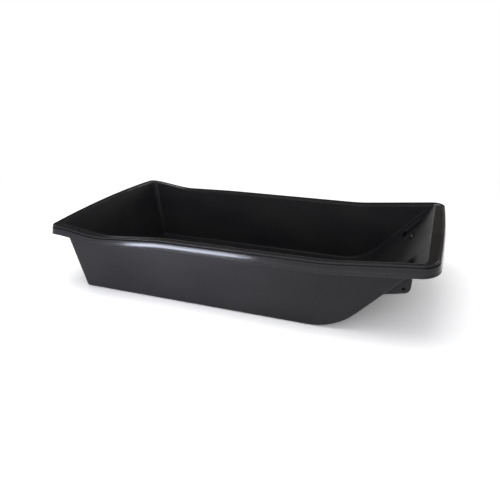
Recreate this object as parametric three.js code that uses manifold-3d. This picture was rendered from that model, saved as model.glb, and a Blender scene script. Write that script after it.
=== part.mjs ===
// Ice fishing sled: a moulded polyethylene tub with a rolled rim, a ramped bow, two hollow hitch ears
// under the ramp and one bolt through the ramp.
// Millimetres. X runs towards the bow, Y to port, Z up. The origin lies on the ground at mid length.
import * as THREE from 'three';
import { mergeVertices } from 'three/addons/utils/BufferGeometryUtils.js';
import Module from 'manifold-3d';

const wasm = await Module();
wasm.setup();

// Overall form. The crest is the raised bead that runs round the top of the rim.
const crestLength = 1500;
const sternHalfWidth = 390;
const bowHalfWidth = 369;
const sternCrestHeight = 283;
const sternCrown = 13;
const sternKinkHeight = 259;
const waistHeight = 273;
const bowKinkHeight = 276.5;
const bowCrestHeight = 315;
const levelFromStern = 48;
const sternKinkFromStern = 210;
const waistFromStern = 470;
const bowKinkFromBow = 372;
const kinkBlend = 45;
const sternCrestRadius = 24;
const bowCrestRadius = 60;
const bowBulge = 8;

// Tub below the rim
const skin = 5.6;
const bottomHalfWidth = 337;
const bottomFromStern = 86;
const bottomCornerRadius = 20;
const bottomEdgeRadius = 12;
const rampDegrees = 46.5;
const rampRadius = 240;

// Floor panel, raised inside and hollow beneath, so that a runner is left round it on the ground
const panelHalfWidth = 286;
const panelFromBottomStern = 60;
const panelFromRampBend = 20;
const panelRise = 8;
const panelSlope = 10;
const panelCornerRadius = 22;

// Rim section, outward and downward from the crest
const flangeWidth = 34;
const bowFlangeWidth = 46;
const innerCornerRadius = 26;
const bowInnerCornerRadius = 4;
const innerEdgeRadius = 6;
const beadRadius = 4;
const beadHeight = 3;
const seamDrop = 8;
const seamDepth = 3;
const faceTopReach = 5.6;
const faceReach = 8.6;
const faceRadius = 2;
const faceDrop = 33;
const lipReach = 10;
const lipDrop = 44;
const sternLipDrop = 35;
const lipRadius = 3;

// Hitch ears: hollow boxes moulded under the ramp, with a cross hole for the tow bar's pin.
// Places are given back from the bow crest and down from it.
const earInnerY = 180;
const earOuterY = 290;
const earHeelFromBow = 195;
const earToeFromBow = 86;
const earToeDrop = 148;
const earFrontLean = 3;
const earToeRadius = 18;
const pocketHeelFromEarHeel = 39;
const pinHoleDiameter = 13;
const pinHoleFromBow = 109;
const pinHoleDrop = 134;

// Bolt through the ramp, with its head in the tub and its nut beneath
const boltFromBow = 115;
const boltY = 100;
const boltDiameter = 8;
const boltHoleDiameter = 9;
const boltEndLength = 3;
const boltEndChamfer = 1;
const headDiameter = 14;
const headHeight = 4.4;
const headRimHeight = 1;
const socketAcrossFlats = 5;
const socketDepth = 2.6;
const washerDiameter = 30;
const washerThickness = 1.5;
const nutAcrossFlats = 13;
const nutHeight = 6.5;
const nutCollarDiameter = 11.6;
const nutCollarHeight = 1.6;
const clearance = 0.3;

// How finely curves are faceted, and how far a cutting solid runs past what it cuts
const cornerSteps = 8;
const endSteps = 5;
const roundSteps = 3;
const rampSteps = 12;
const roundSides = 32;
const cutOverrun = 2;
const cutReach = 120;

// Places worked out from the sizes above
const crestHalfLength = crestLength / 2;
const levelX = levelFromStern - crestHalfLength;
const sternKinkX = sternKinkFromStern - crestHalfLength;
const waistX = waistFromStern - crestHalfLength;
const bowKinkX = crestHalfLength - bowKinkFromBow;
const bottomSternX = bottomFromStern - crestHalfLength;
const sternInnerX = flangeWidth - crestHalfLength;
const bowInnerX = crestHalfLength - bowFlangeWidth;
const innerEdgeDrop = beadHeight + innerEdgeRadius;
const earHeelX = crestHalfLength - earHeelFromBow;
const earToeX = crestHalfLength - earToeFromBow;
const earToeHeight = bowCrestHeight - earToeDrop;
const pocketHeelX = earHeelX + pocketHeelFromEarHeel;
const pinHoleX = crestHalfLength - pinHoleFromBow;
const pinHoleHeight = bowCrestHeight - pinHoleDrop;
const boltRampX = crestHalfLength - boltFromBow;

const hullPlastic = new THREE.MeshStandardMaterial({ color: 0x232327, roughness: 0.42, metalness: 0 });
const zincSteel = new THREE.MeshStandardMaterial({ color: 0x9da1a6, roughness: 0.35, metalness: 1 });

const mix = (a, b, share) => a + (b - a) * share;
const clampShare = (value) => Math.min(1, Math.max(0, value));

// A value that runs straight between knots, each corner eased over kinkBlend to both sides
function easedLine(knots, x) {
  const straight = (at) => {
    let i = 0;
    while (i < knots.length - 2 && at > knots[i + 1][0]) i += 1;
    const [[x0, v0], [x1, v1]] = [knots[i], knots[i + 1]];
    return mix(v0, v1, (at - x0) / (x1 - x0));
  };
  const samples = 8;
  let sum = 0;
  for (let k = 0; k < samples; k += 1) {
    sum += straight(x + kinkBlend * ((2 * k + 1) / samples - 1));
  }
  return sum / samples;
}

// Height of the crest along the sled, with the stern edge crowned across its width
function crestHeight(x, y) {
  const side = easedLine(
    [
      [-crestHalfLength, sternCrestHeight],
      [levelX, sternCrestHeight],
      [sternKinkX, sternKinkHeight],
      [waistX, waistHeight],
      [bowKinkX, bowKinkHeight],
      [crestHalfLength, bowCrestHeight],
    ],
    x,
  );
  const across = 1 - (y / sternHalfWidth) ** 2;
  const nearStern = clampShare((sternInnerX - x) / flangeWidth + 1);
  return side + sternCrown * across * nearStern;
}

// Half the width over the crests: the sides draw in between the stern kink and the waist.
function crestHalfWidth(x) {
  return easedLine(
    [
      [-crestHalfLength, sternHalfWidth],
      [sternKinkX, sternHalfWidth],
      [waistX, bowHalfWidth],
      [crestHalfLength, bowHalfWidth],
    ],
    x,
  );
}

// Stations along a side, close together where the rim bends, as shares of the side's straight run
const sideStartX = sternCrestRadius - crestHalfLength;
const sideEndX = crestHalfLength - bowCrestRadius;
const sideShares = [sternKinkX, waistX, bowKinkX]
  .flatMap((x) => [-1, -1 / 2, 0, 1 / 2, 1].map((step) => x + kinkBlend * step))
  .map((x) => (x - sideStartX) / (sideEndX - sideStartX));

// A rounded outline, anticlockwise from above, with the same stations whatever its size
function outline(sternX, bowX, halfWidthAt, sternRadius, bowRadius) {
  const port = [];
  const sternHalf = halfWidthAt(sternX + sternRadius);
  const bowHalf = halfWidthAt(bowX - bowRadius);
  for (let i = 0; i < endSteps; i += 1) {
    port.push([sternX, (sternHalf - sternRadius) * (i / endSteps)]);
  }
  for (let i = 0; i <= cornerSteps; i += 1) {
    const turn = (Math.PI / 2) * (i / cornerSteps);
    port.push([sternX + sternRadius * (1 - Math.cos(turn)), sternHalf - sternRadius * (1 - Math.sin(turn))]);
  }
  for (const share of sideShares) {
    const x = mix(sternX + sternRadius, bowX - bowRadius, share);
    port.push([x, halfWidthAt(x)]);
  }
  for (let i = 0; i <= cornerSteps; i += 1) {
    const turn = (Math.PI / 2) * (i / cornerSteps);
    port.push([bowX - bowRadius * (1 - Math.sin(turn)), bowHalf - bowRadius * (1 - Math.cos(turn))]);
  }
  for (let i = endSteps - 1; i >= 0; i -= 1) {
    port.push([bowX, (bowHalf - bowRadius) * (i / endSteps)]);
  }
  const starboard = port.slice(1, -1).reverse().map(([x, y]) => [x, -y]);
  return [...port, ...starboard].reverse();
}

// The way out, in plan, at each station of an outline
function outwardDirections(loop) {
  return loop.map((_, i) => {
    const before = loop[(i + loop.length - 1) % loop.length];
    const after = loop[(i + 1) % loop.length];
    const along = new THREE.Vector2(after[0] - before[0], after[1] - before[1]).normalize();
    return [along.y, -along.x];
  });
}

function arcPoints(centreX, centreZ, radius, fromAngle, toAngle, steps) {
  return Array.from({ length: steps + 1 }, (_, i) => {
    const angle = mix(fromAngle, toAngle, i / steps);
    return [centreX + radius * Math.cos(angle), centreZ + radius * Math.sin(angle)];
  });
}

function solidFrom(geometry) {
  const bare = geometry.clone();
  bare.deleteAttribute('normal');
  bare.deleteAttribute('uv');
  const merged = mergeVertices(bare);
  return new wasm.Manifold(
    new wasm.Mesh({
      numProp: 3,
      vertProperties: merged.attributes.position.array,
      triVerts: new Uint32Array(merged.index.array),
    }),
  );
}

function geometryFrom(solid) {
  const { vertProperties, triVerts } = solid.getMesh();
  const geometry = new THREE.BufferGeometry();
  geometry.setAttribute('position', new THREE.BufferAttribute(vertProperties, 3));
  geometry.setIndex(new THREE.BufferAttribute(triVerts, 1));
  return geometry;
}

// A closed solid through rings of equal count. Its first and last rings are capped from their middles,
// or, where it returns on itself, the last ring joins the first.
function loftRings(rings, returns = false) {
  const count = rings[0].length;
  const positions = rings.flat(2);
  const faces = [];
  const spans = returns ? rings.length : rings.length - 1;
  for (let r = 0; r < spans; r += 1) {
    const low = r * count;
    const high = ((r + 1) % rings.length) * count;
    for (let i = 0; i < count; i += 1) {
      const j = (i + 1) % count;
      faces.push(low + i, low + j, high + j, low + i, high + j, high + i);
    }
  }
  const caps = returns ? [] : [[0, true], [rings.length - 1, false]];
  for (const [r, facesDown] of caps) {
    const middle = positions.length / 3;
    const start = r * count;
    positions.push(...rings[r].reduce((sum, point) => sum.map((v, k) => v + point[k] / count), [0, 0, 0]));
    for (let i = 0; i < count; i += 1) {
      const pair = [start + i, start + ((i + 1) % count)];
      faces.push(middle, ...(facesDown ? pair.reverse() : pair));
    }
  }
  const geometry = new THREE.BufferGeometry();
  geometry.setAttribute('position', new THREE.Float32BufferAttribute(positions, 3));
  geometry.setIndex(faces);
  return solidFrom(geometry);
}

// A side view, given as [x, z] points, run across the sled from one Y to another
function crossPrism(points, fromY, toY) {
  const shape = new THREE.Shape(points.map(([x, z]) => new THREE.Vector2(x, z)));
  const geometry = new THREE.ExtrudeGeometry(shape, { depth: toY - fromY, bevelEnabled: false });
  geometry.rotateX(Math.PI / 2);
  geometry.translate(0, toY, 0);
  return solidFrom(geometry);
}

// A solid of the port side joined by its mirror image to starboard
function bothSides(port) {
  return port.add(port.mirror([0, 1, 0]));
}

// The ramp's inner face runs up at its angle to touch the rounded inner edge of the bow flange.
const rampAngle = THREE.MathUtils.degToRad(rampDegrees);
const rampOut = [Math.sin(rampAngle), -Math.cos(rampAngle)];
const bowEdgeReach = innerEdgeRadius * (bowFlangeWidth / flangeWidth);
const bowEdgeCentre = [bowInnerX + bowEdgeReach, bowCrestHeight - innerEdgeDrop];
const rampToEdgeCentre = Math.hypot(
  bowEdgeReach * Math.sin(rampAngle), innerEdgeRadius * Math.cos(rampAngle),
);

// Height and place of a point on the ramp, so far out from its inner face
function rampHeight(x, out = 0) {
  const rise = (x - bowEdgeCentre[0]) * Math.sin(rampAngle) + rampToEdgeCentre - out;
  return bowEdgeCentre[1] + rise / Math.cos(rampAngle);
}

function rampX(height, out = 0) {
  const run = (height - bowEdgeCentre[1]) * Math.cos(rampAngle) - rampToEdgeCentre + out;
  return bowEdgeCentre[0] + run / Math.sin(rampAngle);
}

// Where the floor starts to bend up into the ramp, below the bend's centre
const bendX = rampX(rampRadius) - (rampRadius - skin) / Math.sin(rampAngle);

// Side view of all that lies above the floor and ramp, so far out from their inner faces
function aboveFloorAndRamp(out) {
  const floor = skin - out;
  const top = bowCrestHeight + cutReach;
  const bend = arcPoints(
    bendX, rampRadius, rampRadius - floor, -Math.PI / 2, rampAngle - Math.PI / 2, rampSteps,
  );
  return [[-crestLength, floor], ...bend, [rampX(top, out), top], [-crestLength, top]];
}

// The rim's section as [outward, up] from the crest, from the underside round to the inner edge
function rimSection() {
  const edgeCentre = [innerEdgeRadius - flangeWidth, -innerEdgeDrop];
  const beadFoot = Math.PI - Math.asin((beadRadius - beadHeight) / beadRadius);
  const underside = -beadHeight - skin;
  const wallMiddle = skin - cutOverrun / 2 - flangeWidth;
  const backOfFaceTop = faceTopReach - skin;
  const section = [
    [-flangeWidth - cutOverrun, -innerEdgeDrop],
    ...arcPoints(...edgeCentre, innerEdgeRadius, Math.PI, Math.PI / 2, roundSteps),
    ...arcPoints(0, -beadRadius, beadRadius, beadFoot, 0, roundSteps + 2),
    [beadRadius - seamDepth / 2, -seamDrop - seamDepth],
    ...arcPoints(faceTopReach - faceRadius, -seamDrop - faceRadius, faceRadius, Math.PI / 2, 0, roundSteps),
    [faceReach, -faceDrop],
    [lipReach, (-faceDrop - lipDrop + lipRadius) / 2],
    ...arcPoints(lipReach - lipRadius, lipRadius - lipDrop, lipRadius, 0, -Math.PI / 2, roundSteps).slice(1),
    [lipReach - skin, -lipDrop],
    [faceReach - skin, -faceDrop],
    [backOfFaceTop, underside - (3 * skin) / 2],
    [backOfFaceTop - skin, underside],
    [wallMiddle, underside],
    [wallMiddle, -innerEdgeDrop - cutOverrun],
    [-flangeWidth - cutOverrun, -innerEdgeDrop - cutOverrun],
  ];
  return section.reverse();
}

// The bow's crest bulges forward: it is set back towards its corners.
function bowSetback(x, y) {
  return bowBulge * (y / bowHalfWidth) ** 2 * clampShare((x - sideEndX) / bowCrestRadius);
}

// How much of the lip below the face is there: it runs out between the waist and the stern kink.
function lipShare(x) {
  const sternShare = (sternLipDrop - faceDrop) / (lipDrop - faceDrop);
  return easedLine(
    [
      [-crestHalfLength, sternShare],
      [sternKinkX, sternShare],
      [waistX, 1],
      [crestHalfLength, 1],
    ],
    x,
  );
}

const crestLoop = outline(
  -crestHalfLength, crestHalfLength, crestHalfWidth, sternCrestRadius, bowCrestRadius,
).map(([x, y]) => [x - bowSetback(x, y), y]);
const innerLoop = outline(
  sternInnerX, bowInnerX, (x) => crestHalfWidth(x) - flangeWidth, innerCornerRadius, bowInnerCornerRadius,
);
const crestOutward = outwardDirections(crestLoop);

// A place on the rim at one station: in from the crest, the widths share out the way to the inner edge.
function rimPoint(i, outward, up) {
  const [crestX, crestY] = crestLoop[i];
  const belowFace = Math.max(0, -faceDrop - up);
  const height = crestHeight(crestX, crestY) + up + belowFace * (1 - lipShare(crestX));
  if (outward >= 0) {
    return [crestX + crestOutward[i][0] * outward, crestY + crestOutward[i][1] * outward, height];
  }
  const share = -outward / flangeWidth;
  return [mix(crestX, innerLoop[i][0], share), mix(crestY, innerLoop[i][1], share), height];
}

function makeRim() {
  const rings = rimSection().map(([outward, up]) => crestLoop.map((_, i) => rimPoint(i, outward, up)));
  return loftRings(rings, true);
}

// One face of the tub, the inner one or so far out from it: walls rise from a rounded foot to the rim
// and are cut to the floor and ramp.
function makeTubForm(out) {
  const inward = skin - out;
  const footRadius = bottomEdgeRadius - inward / 2;
  const bowEndX = bowInnerX + 2 * skin;
  const rings = arcPoints(footRadius, inward + footRadius, footRadius, -Math.PI / 2, -Math.PI, roundSteps)
    .map(([inset, z]) => outline(
      bottomSternX + inward + inset, bowEndX, () => bottomHalfWidth - inward - inset,
      bottomCornerRadius - inset / 2, bowInnerCornerRadius,
    ).map(([x, y]) => [x, y, z]));
  const topDrop = out > 0 ? beadHeight + skin / 2 : innerEdgeDrop;
  const top = outline(
    sternInnerX - out, bowEndX, (x) => crestHalfWidth(x) - flangeWidth + out,
    innerCornerRadius + out, bowInnerCornerRadius,
  ).map(([x, y], i) => [x, y, crestHeight(...crestLoop[i]) - topDrop]);
  rings.push(top);
  if (out === 0) rings.push(top.map(([x, y]) => [x, y, bowCrestHeight + cutReach]));
  const reach = sternHalfWidth + cutReach;
  return loftRings(rings).intersect(crossPrism(aboveFloorAndRamp(out), -reach, reach));
}

// The floor panel's outline at one height, grown by so much on every side
function panelRing(grow, z) {
  const sternX = bottomSternX + panelFromBottomStern - grow;
  const bowX = bendX - panelFromRampBend + grow;
  return outline(
    sternX, bowX, () => panelHalfWidth + grow,
    panelCornerRadius + grow, panelCornerRadius + grow,
  ).map(([x, y]) => [x, y, z]);
}

// The panel runs a little way down into the floor, or its hollow a little way below the ground.
function makePanel(foot, depth) {
  return loftRings([
    panelRing(panelSlope * (1 + depth / panelRise), foot - depth),
    panelRing(0, foot + panelRise),
  ]);
}

// Side view of an ear: its sole rises from the heel to a rounded toe, and its front leans forward.
// The pocket is the same view drawn in by the skin, with a heel of its own, and open to the tub.
function earSideView(isPocket) {
  const inset = isPocket ? skin : 0;
  const topOut = isPocket ? -cutOverrun : skin / 2;
  const heelX = isPocket ? pocketHeelX : earHeelX;
  const footHeight = rampHeight(earHeelX, skin);
  const soleAngle = Math.atan2(earToeHeight - footHeight, earToeX - earHeelX);
  const sole = (x) => footHeight + (x - earHeelX) * Math.tan(soleAngle) + inset / Math.cos(soleAngle);
  const topX = earToeX + earFrontLean - inset;
  const front = (z) => mix(topX - earFrontLean, topX, (z - earToeHeight) / (rampHeight(topX) - earToeHeight));
  const radius = earToeRadius - inset;
  const toeX = front(earToeHeight + earToeRadius) - radius;
  const toeZ = sole(toeX) + radius / Math.cos(soleAngle);
  return [
    [heelX, sole(heelX)],
    ...arcPoints(toeX, toeZ, radius, soleAngle - Math.PI / 2, 0, 2 * roundSteps),
    [topX, rampHeight(topX, topOut)],
    [heelX, rampHeight(heelX, topOut)],
  ];
}

// Turns a shape whose Y axis runs down through the ramp, from its inner face, to stand at the bolt
function placeAtBolt(geometry) {
  const turn = new THREE.Quaternion().setFromUnitVectors(
    new THREE.Vector3(0, 1, 0),
    new THREE.Vector3(rampOut[0], 0, rampOut[1]),
  );
  return geometry.applyQuaternion(turn).translate(boltRampX, boltY, rampHeight(boltRampX));
}

function boltPrism(diameter, fromDepth, toDepth, sides = roundSides) {
  const geometry = new THREE.CylinderGeometry(diameter / 2, diameter / 2, toDepth - fromDepth, sides);
  geometry.translate(0, (fromDepth + toDepth) / 2, 0);
  return solidFrom(placeAtBolt(geometry));
}

const hexCorners = (acrossFlats) => acrossFlats / Math.cos(Math.PI / 6);

function makeHull() {
  const pinHole = new THREE.CylinderGeometry(
    pinHoleDiameter / 2, pinHoleDiameter / 2, earOuterY - earInnerY + 2 * cutOverrun, roundSides,
  ).translate(pinHoleX, (earInnerY + earOuterY) / 2, pinHoleHeight);
  const ear = crossPrism(earSideView(false), earInnerY, earOuterY);
  const pocket = crossPrism(earSideView(true), earInnerY + skin, earOuterY - skin);
  return makeTubForm(skin)
    .add(makeRim())
    .add(bothSides(ear))
    .subtract(makeTubForm(0))
    .add(makePanel(skin, skin / 2))
    .subtract(makePanel(0, cutOverrun))
    .subtract(bothSides(pocket))
    .subtract(bothSides(solidFrom(pinHole)))
    .subtract(boltPrism(boltHoleDiameter, -cutOverrun, skin + cutOverrun));
}

// Depths along the bolt from the ramp's inner face: negative in the tub, positive beneath
const innerWasherDepth = -clearance - washerThickness;
const headDepth = innerWasherDepth - clearance;
const outerWasherDepth = skin + clearance;
const nutDepth = outerWasherDepth + washerThickness + clearance;
const nutEndDepth = nutDepth + nutHeight + nutCollarHeight;
const boltEndDepth = nutEndDepth + boltEndLength;
const nutBore = boltDiameter + 2 * clearance;

function makeBolt() {
  const headTop = headDepth - headHeight;
  const domeHeight = headHeight - headRimHeight;
  const crownRadius = hexCorners(socketAcrossFlats) / 2 + boltEndChamfer;
  const dome = arcPoints(0, 0, 1, -Math.PI / 2, 0, 2 * roundSteps).map(([across, down]) => new THREE.Vector2(
    mix(crownRadius, headDiameter / 2, across),
    headDepth - headRimHeight + down * domeHeight,
  ));
  const profile = [
    new THREE.Vector2(0, headTop),
    ...dome,
    new THREE.Vector2(headDiameter / 2, headDepth),
    new THREE.Vector2(boltDiameter / 2, headDepth),
    new THREE.Vector2(boltDiameter / 2, boltEndDepth - boltEndChamfer),
    new THREE.Vector2(boltDiameter / 2 - boltEndChamfer, boltEndDepth),
    new THREE.Vector2(0, boltEndDepth),
  ];
  return solidFrom(placeAtBolt(new THREE.LatheGeometry(profile, roundSides)))
    .subtract(boltPrism(hexCorners(socketAcrossFlats), headTop - cutOverrun, headTop + socketDepth, 6));
}

function makeWasher(depth) {
  return boltPrism(washerDiameter, depth, depth + washerThickness)
    .subtract(boltPrism(nutBore, depth - cutOverrun, depth + washerThickness + cutOverrun));
}

function makeLockNut() {
  return boltPrism(hexCorners(nutAcrossFlats), nutDepth, nutDepth + nutHeight, 6)
    .add(boltPrism(nutCollarDiameter, nutDepth + nutHeight / 2, nutEndDepth))
    .subtract(boltPrism(nutBore, nutDepth - cutOverrun, nutEndDepth + cutOverrun));
}

const sled = new THREE.Group();

function addPiece(name, solid, material) {
  const piece = new THREE.Mesh(geometryFrom(solid), material);
  piece.name = name;
  sled.add(piece);
}

addPiece('hull', makeHull(), hullPlastic);
addPiece('ramp_bolt', makeBolt(), zincSteel);
addPiece('inner_washer', makeWasher(innerWasherDepth), zincSteel);
addPiece('outer_washer', makeWasher(outerWasherDepth), zincSteel);
addPiece('lock_nut', makeLockNut(), zincSteel);

export default sled;
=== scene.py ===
"""Ice fishing sled: the finished hull and its ramp bolt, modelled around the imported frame.

Metres. X runs towards the bow, Y to port, Z up. The origin lies on the ground at mid length.
"""

import math

import bmesh
import bpy
from mathutils import Euler, Matrix, Vector


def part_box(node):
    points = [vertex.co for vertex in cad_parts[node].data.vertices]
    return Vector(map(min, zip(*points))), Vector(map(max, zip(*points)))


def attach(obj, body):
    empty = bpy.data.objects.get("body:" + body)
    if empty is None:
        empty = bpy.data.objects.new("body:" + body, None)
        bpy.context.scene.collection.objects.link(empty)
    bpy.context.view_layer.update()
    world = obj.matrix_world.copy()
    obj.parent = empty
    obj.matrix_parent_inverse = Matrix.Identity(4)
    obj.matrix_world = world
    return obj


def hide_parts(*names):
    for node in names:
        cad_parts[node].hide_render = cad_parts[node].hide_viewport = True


bl_info = {
    "name": "Ice fishing sled",
    "version": (1, 0, 0),
    "blender": (4, 5, 0),
    "location": "View3D > Sidebar > Sled",
    "description": "Builds a moulded ice fishing sled with its ramp bolt, and the studio it stands in",
    "category": "Object",
}

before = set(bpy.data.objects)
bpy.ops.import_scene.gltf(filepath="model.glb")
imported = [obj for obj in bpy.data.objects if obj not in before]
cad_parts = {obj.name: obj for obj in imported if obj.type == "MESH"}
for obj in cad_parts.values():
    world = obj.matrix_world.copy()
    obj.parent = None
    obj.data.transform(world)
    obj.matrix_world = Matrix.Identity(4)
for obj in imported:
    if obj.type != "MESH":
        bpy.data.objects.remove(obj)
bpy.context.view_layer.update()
HULL_LOW, HULL_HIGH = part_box("hull")

# How finely the hull is divided: columns in each run of its outline, and rings in each of its rounds
STERN_COLUMNS = 16
CORNER_COLUMNS = 14
SIDE_COLUMNS = 84
BOW_COLUMNS = 16
WALL_RINGS = 22
ROUND_RINGS = 6
SLOPE_RINGS = 6
GROOVE_RINGS = 4
LIP_STEP_RINGS = 5
LIP_BACK_RINGS = 3
ROUND_SIDES = 64
POCKET_COLUMNS = 8
POCKET_RINGS = 8
DOME_RINGS = 8
TOE_SEGMENTS = 10
EAR_EDGE_SEGMENTS = 4
WASHER_EDGE_SEGMENTS = 3
EASING_SAMPLES = 16

# Shares that place points of the rim's section: of the way between two points, or of the face's drop
FLANGE_EDGE_SHARES = (1.1, 1.5)
BEAD_FOOT_SHARE = 1.5
UNDER_BEAD_SHARES = (0.7, 0.6)
UPPER_FACE_SHARES = (0.45, 0.35)
LOWER_FACE_SHARES = (0.8, 0.65)
FACE_FOOT_SHARE = 0.95
LIP_STEP_SHARE = 0.1
LIP_BACK_SHARE = 0.12

# Where the arcs of the rim's section start and stop, in degrees, with 0 outward and 90 up
BEAD_ARC = (75, 0)
GROOVE_ARC = (180, 300)
SHOULDER_ARC = (75, 8)

# The walls' rings crowd towards the foot, and the bow corners' fillet narrows over this share at the top
RING_CROWDING = 1.8
NARROWING_SHARE = 0.2

# The panel's slope starts this many slopes out, and rings lie at these shares of its half width
PANEL_SPREAD = 1.2
PANEL_SHARES = (0.3, 0.6, 0.85)

# An ear's edges nearer the ramp's inner face than this share of the skin stay sharp
EAR_SUNK_SHARE = 0.75

# A pocket's cutter: where its rounded mouth starts, in degrees, the share of the mouth's rounding that it
# first stands above the mouth, and the share of the pocket's corner radius that its bottom draws in
MOUTH_FROM = 80
MOUTH_LIFT_SHARE = 0.1
BOTTOM_SHARE = 0.8

# The nut's chamfered profile: shares of its radius over the corners, of that over the flats, and of the gap
NUT_CORNER_SHARE = 1.02
NUT_FLAT_SHARE = 0.98
NUT_CHAMFER_SHARE = 0.6

# Doubles nearer than this are merged, in metres. Edges sharper than this many degrees stay sharp.
HULL_MERGE = 1e-5
METAL_MERGE = 1e-6
HULL_SHARP = 40
METAL_SHARP = 30
FACE_WEIGHT = 60

RIM_SHARE = "rim_share"

RUNS = ("stern", "stern_corner", "side", "bow_corner", "bow")


def length(label, description, default):
    return bpy.props.FloatProperty(
        name=label, description=description, default=default, unit="LENGTH", subtype="DISTANCE", precision=4
    )


def turn(label, description, degrees):
    return bpy.props.FloatProperty(
        name=label, description=description, default=math.radians(degrees), unit="ROTATION", subtype="ANGLE"
    )


def colour(label, description, default):
    return bpy.props.FloatVectorProperty(
        name=label, description=description, default=default, size=4, min=0, max=1, subtype="COLOR"
    )


class SledRim(bpy.types.PropertyGroup):
    """The rim: its course round the hull, and its section outward and down from the crest of the bead."""

    lip_reach: length("Lip reach", "From the crest out to the lower lip", 0.010)
    lip_drop: length("Lip drop", "From the crest down to the bottom of the lip", 0.044)
    stern_lip_drop: length("Stern lip drop", "From the crest down to the lip's bottom at the stern", 0.035)
    stern_half_width: length("Stern half width", "Half the width over the crests at the stern", 0.390)
    bow_half_width: length("Bow half width", "Half the width over the crests from the waist on", 0.369)
    stern_height: length("Stern height", "Crest height at the stern corners", 0.283)
    stern_crown: length("Stern crown", "Extra height at the middle of the stern", 0.013)
    stern_kink_height: length("Stern kink height", "Crest height at the stern kink", 0.259)
    waist_height: length("Waist height", "Crest height where the sides have drawn in", 0.273)
    bow_kink_height: length("Bow kink height", "Crest height where the bow starts to rise", 0.2765)
    level_x: length("Level place", "Place along the sled up to which the stern's crest stays level", -0.702)
    stern_kink_x: length("Stern kink place", "Place of the stern kink along the sled", -0.540)
    waist_x: length("Waist place", "Place where the sides have drawn in", -0.280)
    bow_kink_x: length("Bow kink place", "Place where the bow starts to rise", 0.378)
    kink_blend: length("Kink blend", "Reach of each kink's easing to both sides", 0.045)
    stern_radius: length("Stern corner radius", "Crest radius at the stern corners", 0.024)
    bow_radius: length("Bow corner radius", "Crest radius at the bow corners", 0.060)
    bow_bulge: length("Bow bulge", "How far the bow's crest is set back towards its corners", 0.008)
    flange_width: length("Flange width", "From the crest in to the tub's wall", 0.034)
    bow_flange_width: length("Bow flange width", "From the crest in to the ramp", 0.046)
    inner_stern_radius: length("Inner stern radius", "Corner radius of the tub's mouth at the stern", 0.026)
    inner_bow_radius: length("Inner bow radius", "Corner radius of the tub's mouth at the bow", 0.005)
    inner_edge_radius: length("Inner edge radius", "Rounding from the flange into the tub", 0.006)
    bead_height: length("Bead height", "Height of the bead above the flange", 0.003)
    bead_foot: length("Bead foot", "Width of the bead's inner slope", 0.0065)
    bead_radius: length("Bead radius", "Rounding of the bead's outer side", 0.0036)
    groove_drop: length("Groove drop", "From the crest down to the groove under the bead", 0.0100)
    groove_radius: length("Groove radius", "Rounding at the bottom of that groove", 0.0018)
    shoulder_radius: length("Shoulder radius", "Rounding at the top of the rim's face", 0.0022)
    shoulder_reach: length("Shoulder reach", "From the crest out to the top of the face", 0.0056)
    face_reach: length("Face reach", "From the crest out to the bottom of the face", 0.0086)
    face_drop: length("Face drop", "From the crest down to the bottom of the face", 0.033)
    lip_radius: length("Lip radius", "Rounding under the lower lip", 0.0028)
    under_radius: length("Underside radius", "Fillet between the rim's underside and the wall", 0.005)


class SledTub(bpy.types.PropertyGroup):
    """The tub below the rim, with its ramp and its floor panel."""

    skin: length("Skin", "Thickness of the moulding", 0.0056)
    bottom_half_width: length("Bottom half width", "Half the width over the walls at the ground", 0.337)
    bottom_stern_x: length("Bottom stern place", "Place of the stern wall at the ground", -0.664)
    bottom_corner_radius: length("Bottom corner radius", "Radius of the stern corners at the ground", 0.020)
    foot_radius: length("Foot radius", "Rounding between the walls and the bottom, outside", 0.012)
    ramp_angle: turn("Ramp angle", "Slope of the ramp", 46.5)
    ramp_radius: length("Ramp radius", "Bend from the floor into the ramp, outside", 0.240)
    fan_x: length("Fan place", "Forward of here the hull's columns lean towards the bow", 0.150)
    panel_half_width: length("Panel half width", "Half the width of the raised floor panel", 0.286)
    panel_from_stern: length("Panel from stern", "From the bottom's stern end to the panel", 0.060)
    panel_from_bend: length("Panel from bend", "From the panel to the start of the bend", 0.020)
    panel_rise: length("Panel rise", "Height of the panel above the floor", 0.008)
    panel_slope: length("Panel slope", "Width of the slope round the panel", 0.010)
    panel_radius: length("Panel radius", "Corner radius of the panel", 0.022)


class SledEars(bpy.types.PropertyGroup):
    """The hollow hitch ears under the ramp."""

    inner_y: length("Inboard face", "From the sled's centre plane to an ear's inboard face", 0.180)
    outer_y: length("Outboard face", "From the sled's centre plane to an ear's outboard face", 0.290)
    heel_from_bow: length("Heel from bow", "From the bow crest back to an ear's heel", 0.195)
    toe_from_bow: length("Toe from bow", "From the bow crest back to an ear's toe", 0.086)
    toe_drop: length("Toe drop", "From the bow crest down to an ear's toe", 0.148)
    front_lean: length("Front lean", "How far an ear's front leans forward", 0.003)
    toe_radius: length("Toe radius", "Rounding of an ear's toe", 0.018)
    edge_radius: length("Edge radius", "Rounding of an ear's edges", 0.004)
    pocket_heel: length("Pocket heel", "From an ear's heel to the heel of its pocket", 0.039)
    pocket_radius: length("Pocket radius", "Corner radius of a pocket", 0.013)
    mouth_radius: length("Mouth radius", "Rounding of a pocket's mouth", 0.008)
    mouth_bead: length("Mouth bead", "Rounding of the raised edge round a pocket's mouth", 0.004)
    mouth_rise: length("Mouth rise", "Height of that raised edge above the ramp", 0.002)
    pin_diameter: length("Pin hole diameter", "Cross hole for the tow bar's pin", 0.013)
    pin_from_bow: length("Pin hole from bow", "From the bow crest back to the pin hole", 0.109)
    pin_drop: length("Pin hole drop", "From the bow crest down to the pin hole", 0.134)


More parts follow.
